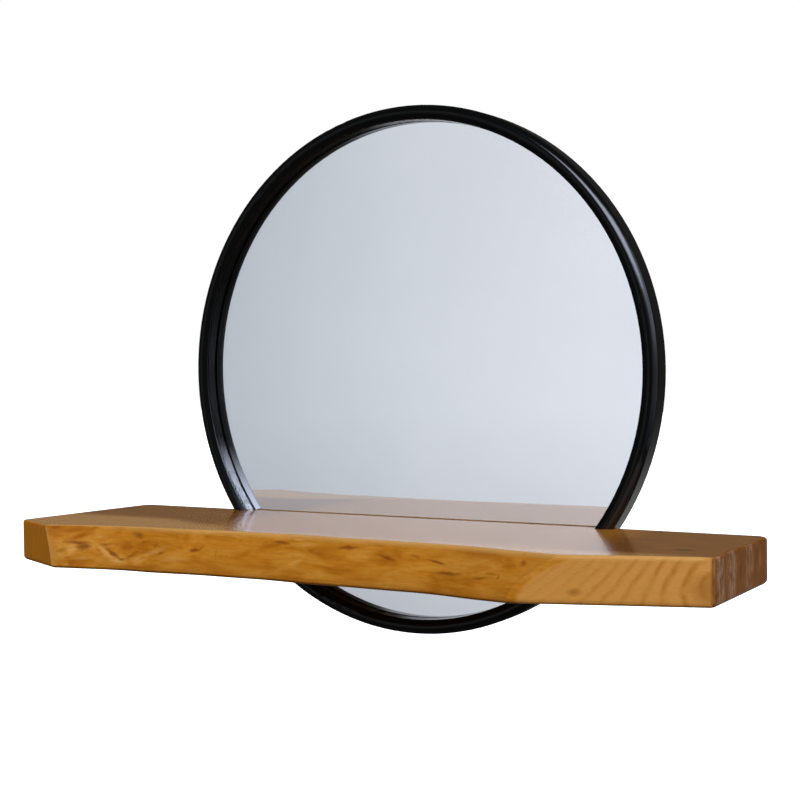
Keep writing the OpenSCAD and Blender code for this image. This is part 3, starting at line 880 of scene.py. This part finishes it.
    def end_grain(self, ground: Ground) -> dict[str, Node]:
        """Colour the end grain, which took up more oil: brown, with upright lines.

        Args:
            ground: the plank's places and noises.

        Returns:
            The colour of the left corner and of the right end, with its chalky flecks.
        """
        tree, place = ground.tree, ground.place
        upright = add_node(tree, "Mapping", {"Vector": place, "Scale": (1, 1, 0.12)})
        grain = add_node(tree, "TexNoise",
                         {"Vector": upright, "Scale": 1 / self.grain_mm, "Detail": 4.0, "Roughness": 0.6})
        wood = add_node(tree, "ValToRGB", {"Fac": grain},
                        stops=((0.3, self.end_late), (0.5, self.end), (0.7, self.end_early)))
        plain = add_node(tree, "MapRange", (grain, *NOISE, *self.upright))
        left = add_node(tree, "VectorMath", {0: linear(self.sawn)[:3], "Scale": plain}, operation="SCALE")
        short = add_node(tree, "Mapping", {"Vector": place, "Scale": (1, 1, 0.3)})
        flecks = add_node(tree, "TexNoise",
                          {"Vector": short, "Scale": 1 / self.fleck_mm, "Detail": 5.0, "Roughness": 0.7})
        thin = add_node(tree, "MapRange", (flecks, *self.chalk_grain))
        both: Value = 0.0
        for centre, weight in self.chalk_bands:
            off = add_node(tree, "Math", (ground.y, centre), operation="SUBTRACT")
            gap = add_node(tree, "Math", (off,), operation="ABSOLUTE")
            band = add_node(tree, "MapRange", (gap, *self.chalk_edge, weight))
            both = add_node(tree, "Math", (band, both), operation="ADD")
        share = add_node(tree, "Math", (both, thin), operation="MULTIPLY")
        part = add_node(tree, "Math", (share, self.chalk_share), operation="MULTIPLY")
        right = add_node(tree, "Mix", {"Factor": part, "A": wood, "B": linear(self.chalk)}, data_type="RGBA")
        return {"left": left, "right": right}


# ---------- pieces ----------


class Dressed:
    """A sub-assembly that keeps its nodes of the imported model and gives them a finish."""

    def dress(self, finish: Finish, nodes: Iterable[str]) -> None:
        """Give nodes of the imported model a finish.

        Args:
            finish: the finish.
            nodes: the nodes' names.
        """
        for name in nodes:
            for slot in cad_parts[name].material_slots:
                slot.material = finish.material()
            LOG.info("%s: %s", name, finish.name)


@dataclass
class RingAndBack(Dressed):
    """The lacquered ring, the board behind the glass and the ring's fittings."""

    buttons: int = 6

    def build(self) -> None:
        """Dress the ring, the board, the turn buttons, the hanger and their screws."""
        self.dress(SatinLacquer(), ["frame_ring"])
        self.dress(Hardboard(), ["backing_board"])
        steel = PlatedSteel("pressed_steel", Metal.STEEL)
        zinc = PlatedSteel("zinc_plated_screw", Metal.ZINC, line_mm=0.4, cloud_mm=3.0)
        self.dress(steel, [f"turn_button_{i}" for i in range(1, self.buttons + 1)])
        self.dress(steel, ["sawtooth_hanger"])
        self.dress(zinc, ["turn_button_screws", "sawtooth_screws", "ring_screws"])


@dataclass
class WallFixing(Dressed):
    """The two spacers behind the plank, with their keyhole plates and screws."""

    def build(self) -> None:
        """Dress the spacers, the plates and their screws."""
        self.dress(SawnSpruce(), ["wall_spacer_left", "wall_spacer_right"])
        self.dress(PlatedSteel("pressed_steel", Metal.STEEL), ["keyhole_plate_left", "keyhole_plate_right"])
        self.dress(PlatedSteel("zinc_plated_screw", Metal.ZINC), ["keyhole_screws", "spacer_screws"])


@dataclass
class MirrorGlass:
    """The mirror: a clear glass disc with its silver at the back.

    The two are apart so that things near the glass show their image behind its full
    thickness, as in a real mirror.
    """

    radius: float = 287.5 * MM
    front: float = -12.0 * MM
    back: float = -8.0 * MM
    coat: float = 0.06 * MM
    gap: float = 0.02 * MM
    seam: float = 0.4 * MM
    seam_steps: int = 2
    rim: float = 4.0 * MM
    steps: int = 192
    crisp: float = math.radians(30)

    def disc(self, name: str, near: float, far: float, seam: float) -> Piece:
        """Model a disc with seamed edges.

        Args:
            name: the piece's name.
            near: the place of its front along Y.
            far: the place of its back along Y.
            seam: the width of the seam ground on its two edges, or 0.

        Returns:
            The finished piece, at the origin.
        """
        bpy.ops.object.select_all(action="DESELECT")
        bpy.ops.mesh.primitive_cylinder_add(
            vertices=self.steps, radius=self.radius, depth=far - near, location=(0, (near + far) / 2, 0),
            rotation=(math.pi / 2, 0, 0))
        piece = bpy.context.object
        piece.name = piece.data.name = name
        bpy.ops.object.transform_apply(location=True, rotation=True, scale=True)
        bpy.ops.object.mode_set(mode="EDIT")
        pick(piece, "FACE", lambda face: abs(face.normal.y) > 0.9)
        bpy.ops.mesh.inset(thickness=self.rim)
        if seam:
            pick(piece, "FACE", lambda face: abs(face.normal.y) < 0.1)
            bpy.ops.mesh.region_to_loop()
            bpy.ops.mesh.bevel(offset=seam, segments=self.seam_steps)
        bpy.ops.object.mode_set(mode="OBJECT")
        bpy.ops.object.shade_smooth_by_angle(angle=self.crisp)
        return piece

    def build(self) -> None:
        """Model and dress the glass and the silver."""
        silver_far = self.back - self.gap
        silver_near = silver_far - self.coat
        glass = self.disc("mirror_pane", self.front, silver_near - self.gap, self.seam)
        silver = self.disc("mirror_silver", silver_near, silver_far, 0.0)
        for piece, finish in ((glass, FloatGlass()), (silver, SilverCoat())):
            piece.data.materials.append(finish.material())
            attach(piece, "mirror")
            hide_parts("mirror_glass")
            LOG.info("%s: %d faces, %s", piece.name, len(piece.data.polygons), finish.name)


@dataclass
class ShelfPlank:
    """The live-edge plank, with the dents and the soft edges of the real one.

    A face belongs to a sawn corner when its normal leans past left_sawn or right_sawn
    along X, and to the top or bottom when it is past level along Z.
    """

    cuts: int = 3
    front: float = -28.0 * MM
    top: float = -168.5 * MM
    bottom: float = -215.5 * MM
    top_round: float = 3.0 * MM
    bottom_round: float = 4.0 * MM
    left_sawn: float = -0.42
    right_sawn: float = 0.285
    dent: float = 1.1 * MM
    dent_size: float = 26.0 * MM
    merged: float = 0.01 * MM
    flat: float = math.radians(1)
    paired: float = math.radians(30)
    paired_shape: float = math.radians(60)
    crisp: float = math.radians(33)
    level: float = 0.9995

    def blank(self) -> Piece:
        """Copy the plank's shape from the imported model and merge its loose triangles.

        Returns:
            The plank as one closed mesh of quads.
        """
        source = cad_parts["shelf_board"]
        mesh = source.data.copy()
        mesh.name = "shelf_plank"
        mesh.materials.clear()
        piece = bpy.data.objects.new("shelf_plank", mesh)
        bpy.context.scene.collection.objects.link(piece)
        make_active(piece)
        bpy.ops.mesh.customdata_custom_splitnormals_clear()
        bpy.ops.object.mode_set(mode="EDIT")
        bpy.ops.mesh.select_all(action="SELECT")
        bpy.ops.mesh.remove_doubles(threshold=self.merged)
        pick(piece, "FACE", lambda face: abs(face.normal.z) > self.level)
        bpy.ops.mesh.dissolve_limited(angle_limit=self.flat)
        pick(piece, "FACE", lambda face: abs(face.normal.z) <= self.level)
        bpy.ops.mesh.tris_convert_to_quads(face_threshold=self.paired, shape_threshold=self.paired_shape)
        return piece

    def is_side(self, face: bpy.types.MeshPolygon) -> bool:
        """Say whether a face belongs to the live edge, an end or their rounded edges."""
        return face.center.y < self.front and abs(face.normal.z) < self.level

    def shape(self, piece: Piece) -> None:
        """Refine the live edge and give it dents.

        Args:
            piece: the plank, active and in edit mode.
        """
        pick(piece, "FACE", self.is_side)
        bpy.ops.mesh.subdivide(number_cuts=self.cuts)
        bpy.ops.object.mode_set(mode="OBJECT")
        inner = self.live_vertices(piece)
        bpy.ops.object.mode_set(mode="EDIT")
        pick(piece, "VERT", lambda vertex: vertex.index in inner)
        bpy.ops.mesh.vertices_smooth(factor=0.5, repeat=4)
        bpy.ops.object.mode_set(mode="OBJECT")
        group = piece.vertex_groups.new(name="live_edge")
        group.add(list(inner), 1.0, "REPLACE")
        dents = bpy.data.textures.new("live_edge_dents", "CLOUDS")
        dents.noise_scale = self.dent_size
        dents.noise_depth = 2
        apply_modifier(piece, "DISPLACE", texture=dents, texture_coords="LOCAL", vertex_group=group.name,
                       mid_level=1.0, strength=self.dent)
        piece.vertex_groups.clear()

    def live_vertices(self, piece: Piece) -> set[int]:
        """Find the vertices of the live edge that lie off its rounds and off the sawn faces.

        Args:
            piece: the plank, in object mode.

        Returns:
            The vertices' numbers.
        """
        mesh = piece.data
        fixed: set[int] = set()
        for face in mesh.polygons:
            height = face.center.z
            rounded = height > self.top - self.top_round or height < self.bottom + self.bottom_round
            sawn = face.normal.x > self.right_sawn or face.normal.x < self.left_sawn
            if not self.is_side(face) or rounded or sawn:
                fixed.update(face.vertices)
        return {v.index for v in mesh.vertices if v.index not in fixed}

    def build(self) -> None:
        """Model the plank, dress it and let it stand for its node."""
        piece = self.blank()
        self.shape(piece)
        make_active(piece)
        bpy.ops.object.shade_smooth_by_angle(angle=self.crisp)
        apply_modifier(piece, "WEIGHTED_NORMAL", keep_sharp=True, weight=80)
        finish = OiledPlank()
        piece.data.materials.append(finish.material())
        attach(piece, "mirror")
        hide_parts("shelf_board")
        LOG.info("%s: %d faces, %s", piece.name, len(piece.data.polygons), finish.name)


# ---------- studio ----------


@dataclass(frozen=True)
class Softbox:
    """A soft lamp that is aimed at the ring's centre."""

    name: str
    place: tuple[float, float, float]
    size: float
    power: float

    def build(self) -> None:
        """Set up the lamp; it lights the object and doesn't show in the mirror."""
        data = bpy.data.lights.new(self.name, "AREA")
        data.size = self.size
        data.energy = self.power
        lamp = bpy.data.objects.new(self.name, data)
        bpy.context.scene.collection.objects.link(lamp)
        lamp.location = self.place
        lamp.rotation_euler = (-Vector(self.place)).to_track_quat("-Z", "Y").to_euler()
        lamp.visible_glossy = False
        lamp.visible_transmission = False


@dataclass(frozen=True)
class RoomPart:
    """A part of the room that stands out of its dim light.

    Attributes:
        colour: its sRGB hex colour.
        light: its strength.
        rise: the sines of the height angles where it begins, is full, is still full and
            has ended.
        turn: the same for its turn to the right of straight ahead of the mirror, in
            radians.
        both_sides: whether it lies at that turn to the left as well.
    """

    colour: str
    light: float
    rise: tuple[float, float, float, float]
    turn: tuple[float, float, float, float]
    both_sides: bool = False


@dataclass
class Studio:
    """Floor, lamps, the room that the gloss and the mirror show, and the camera.

    The camera's numbers were found from the outlines of the ring and the plank. The
    pale wall is all that the mirror shows. Gloss shows it dimmer, by gloss_share.
    """

    focal_px: float = 1489.13
    frame_px: float = 800.0
    centre_px: tuple[float, float] = (409.95, 393.49)
    place: tuple[float, float, float] = (852.73 * MM, -1485.11 * MM, 21.4 * MM)
    yaw: float = 0.526719
    pitch: float = -0.0278728
    roll: float = -0.0131667
    sensor_mm: float = 36.0
    far: float = 50.0
    floor_z: float = -0.95
    floor_size: float = 40.0
    dim: str = "#3E3C39"
    window: RoomPart = RoomPart("#E1E9FF", 11.0, (0.3, 0.5, 0.68, 0.78), (-0.05, 0.14, 0.9, 1.8))
    side: RoomPart = RoomPart("#DFE8FF", 0.5, (-0.5, -0.1, 0.2, 0.5), (0.3, 1.2, 2.0, 2.4))
    glow: RoomPart = RoomPart("#DFE8FF", 1.8, (0.0, 0.28, 0.45, 0.7), (0.9, 1.3, 2.0, 2.4))
    wall: RoomPart = RoomPart("", 1.09, (-0.4, -0.25, 0.22, 0.4), (-1.0, -0.74, -0.3, -0.15))
    behind: RoomPart = RoomPart("#664E2E", 1.0, (0.02, 0.09, 0.18, 0.3), (-3.1, -2.95, -2.25, -2.1))
    rear: RoomPart = RoomPart("#FFFFFF", 0.4, (-0.6, -0.45, -0.15, -0.05), (2.8, 3.0, 3.2, 3.3), True)
    wall_turn: Span = (math.radians(-42), math.radians(-18))
    wall_tones: tuple[tuple[float, str], ...] = (
        (0.0, "#B3B9C2"), (0.18, "#BAC0C9"), (0.5, "#D8DBE3"), (0.8, "#E7E9F2"), (1.0, "#ECEDF8"))
    gloss_share: float = 0.22
    lamps: tuple[Softbox, ...] = (
        Softbox("fill", (0.7, -2.6, 1.5), 1.2, 2.0),
        Softbox("back", (0.5, 2.6, -0.2), 2.0, 40.0),
        Softbox("low", (0.5, -1.7, -0.9), 1.0, 3.0),
    )

    def camera(self) -> None:
        """Set the camera at the photograph's place and angle."""
        ahead = Vector((-math.sin(self.yaw) * math.cos(self.pitch), math.cos(self.yaw) * math.cos(self.pitch),
                        math.sin(self.pitch)))
        level = Vector((math.cos(self.yaw), math.sin(self.yaw), 0))
        upright = level.cross(ahead)
        right = level * math.cos(self.roll) + upright * math.sin(self.roll)
        up = upright * math.cos(self.roll) - level * math.sin(self.roll)
        data = bpy.data.cameras.new("camera")
        data.sensor_width = self.sensor_mm
        data.lens = self.focal_px / self.frame_px * self.sensor_mm
        data.shift_x = (self.frame_px / 2 - self.centre_px[0]) / self.frame_px
        data.shift_y = (self.centre_px[1] - self.frame_px / 2) / self.frame_px
        data.clip_end = self.far
        eye = bpy.data.objects.new("camera", data)
        bpy.context.scene.collection.objects.link(eye)
        turn = Matrix((right, up, -ahead)).transposed().to_4x4()
        eye.matrix_world = Matrix.Translation(self.place) @ turn
        bpy.context.scene.camera = eye

    def floor(self) -> None:
        """Lay a plain pale floor."""
        bpy.ops.object.select_all(action="DESELECT")
        bpy.ops.mesh.primitive_plane_add(size=self.floor_size, location=(0, 0, self.floor_z))
        floor = bpy.context.object
        floor.name = "floor"
        bpy.ops.object.transform_apply(location=True, rotation=True, scale=True)
        made = bpy.data.materials.new("pale_floor")
        made.use_nodes = True
        set_inputs(made.node_tree, made.node_tree.nodes["Principled BSDF"],
                   {"Base Color": linear("#F4F4F4"), "Roughness": 1.0, "Specular IOR Level": 0.0,
                    "Emission Color": linear("#FFFFFF"), "Emission Strength": 1.0})
        floor.data.materials.append(made)
        floor.visible_glossy = False
        floor.visible_transmission = False
        floor.visible_diffuse = False
        floor.visible_shadow = False

    def room(self) -> None:
        """Light the scene with a dim room that has a window, as the gloss shows it.

        The camera itself sees plain white. These stand out of the dim room: the tall window,
        up and to the right; the paler right side with a glow above it; the pale wall on the
        left, which the mirror shows; the brown wall behind, which the plank's top shows; and
        a low pale part at the rear for the fittings.
        """
        world = bpy.data.worlds.new("room")
        bpy.context.scene.world = world
        world.use_nodes = True
        tree = world.node_tree
        tree.nodes.clear()
        axes = add_node(tree, "SeparateXYZ", (add_node(tree, "TexCoord").outputs["Generated"],))
        rise = axes.outputs["Z"]
        ahead = add_node(tree, "Math", (axes.outputs["Y"], -1.0), operation="MULTIPLY")
        turn = add_node(tree, "Math", (axes.outputs["X"], ahead), operation="ARCTAN2")
        either = add_node(tree, "Math", (turn,), operation="ABSOLUTE")

        light = add_node(tree, "Background", {"Color": linear(self.dim), "Strength": 1.0})
        for part in (self.window, self.side, self.glow, self.wall, self.behind, self.rear):
            full: Value = part.light
            if part is self.wall:
                full = self.gloss_dims(tree, part.light)
            strength = self.band(tree, part, rise, either if part.both_sides else turn, full)
            colour: Value = linear(part.colour) if part.colour else self.wall_colour(tree, turn)
            if part is self.wall:
                fall = self.wall_fall(tree, rise)
                strength = add_node(tree, "Math", (strength, fall), operation="MULTIPLY")
            shown = add_node(tree, "Background", {"Color": colour, "Strength": strength})
            light = add_node(tree, "AddShader", (light, shown))
        plain = add_node(tree, "Background", {"Color": linear("#FFFFFF"), "Strength": 1.0})
        seen = add_node(tree, "LightPath").outputs["Is Camera Ray"]
        mixed = add_node(tree, "MixShader", (seen, light, plain))
        add_node(tree, "OutputWorld", {"Surface": mixed})

    def wall_colour(self, tree: Tree, turn: Node) -> Node:
        """Colour the pale wall, which gets lighter to the right.

        Args:
            tree: the world's node tree.
            turn: the turn to the right, in radians.

        Returns:
            The colour.
        """
        share = add_node(tree, "MapRange", (turn, *self.wall_turn))
        return add_node(tree, "ValToRGB", {"Fac": share}, stops=self.wall_tones)

    def wall_fall(self, tree: Tree, rise: Socket) -> Node:
        """Shade the pale wall towards its foot and a little towards its top.

        Args:
            tree: the world's node tree.
            rise: the sine of the height angle.

        Returns:
            The share of its light that is left.
        """
        low = add_node(tree, "MapRange", (rise, -0.17, -0.04, 0.78, 1.0))
        high = add_node(tree, "MapRange", (rise, 0.0, 0.17, 1.0, 0.95))
        return add_node(tree, "Math", (low, high), operation="MULTIPLY")

    def gloss_dims(self, tree: Tree, strength: float) -> Node:
        """Dim a part of the room for what shows it by gloss, and not for the mirror.

        Args:
            tree: the world's node tree.
            strength: its light in the mirror.

        Returns:
            Its light: what the mirror shows has passed its glass, and keeps it.
        """
        path = add_node(tree, "LightPath").outputs
        past_glass = add_node(tree, "Math", (path["Transmission Depth"], 1.0), operation="MINIMUM")
        gloss = add_node(tree, "Math", (path["Is Glossy Ray"], past_glass), operation="SUBTRACT",
                         use_clamp=True)
        return add_node(tree, "MapRange", (gloss, 0.0, 1.0, strength, strength * self.gloss_share))

    def band(self, tree: Tree, part: RoomPart, rise: Socket, turn: Node, full: Value) -> Node:
        """Give a part of the room its light, fading at its edges.

        Args:
            tree: the world's node tree.
            part: the part.
            rise: the sine of the height angle.
            turn: the turn to the right, in radians, or its size alone.
            full: the part's light where it is full.

        Returns:
            The light of that part.
        """
        total = full
        for measure, (begin, whole, last, end) in ((rise, part.rise), (turn, part.turn)):
            grow = add_node(tree, "MapRange", (measure, begin, whole), interpolation_type="SMOOTHSTEP")
            fade = add_node(tree, "MapRange", (measure, end, last), interpolation_type="SMOOTHSTEP")
            both = add_node(tree, "Math", (grow, fade), operation="MULTIPLY")
            total = add_node(tree, "Math", (both, total), operation="MULTIPLY")
        return total

    def build(self) -> None:
        """Set up the whole studio."""
        bpy.context.scene.view_settings.view_transform = "Standard"
        self.floor()
        for lamp in self.lamps:
            lamp.build()
        self.room()
        self.camera()
        LOG.info("studio: floor, %d lamps, room and camera", len(self.lamps))


def main() -> None:
    """Build the object piece by piece, and then the studio."""
    logging.basicConfig(level=logging.INFO, format="%(name)s: %(message)s")
    RingAndBack().build()
    WallFixing().build()
    MirrorGlass().build()
    ShelfPlank().build()
    Studio().build()


if __name__ == "__main__":
    main()
